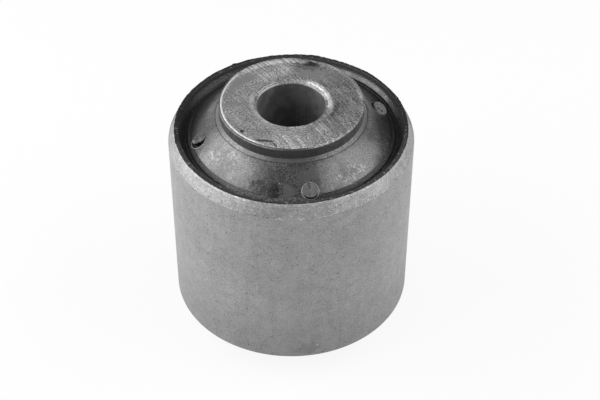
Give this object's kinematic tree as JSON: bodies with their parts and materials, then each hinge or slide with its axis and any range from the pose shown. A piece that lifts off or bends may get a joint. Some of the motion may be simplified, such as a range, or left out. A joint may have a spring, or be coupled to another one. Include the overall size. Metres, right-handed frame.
{
  "type": "rubber metal bush",
  "caption": "Cylindrical rubber metal bush: steel outer sleeve with a lead-in bevel, bonded rubber body coned at both ends, and a thick steel inner sleeve for a clamp bolt.",
  "frame": {"origin": "middle of the bush on the bore axis", "axes": "+Z along the bore, towards the end with the lead-in bevel and the gate stubs; +X to the right and +Y to the back as seen from the front"},
  "size_m": [0.06, 0.06, 0.065],
  "materials": {
    "outer_steel": "matt grey, phosphated, with fine dark pits",
    "rubber": "dusty black moulded rubber",
    "inner_steel": "sawn end faces with straight tool marks, dull wall"
  },
  "bodies": {
    "root": {"outer_sleeve": "outer_steel", "rubber_body": "rubber", "inner_sleeve": "inner_steel"}
  },
  "joints": []
}
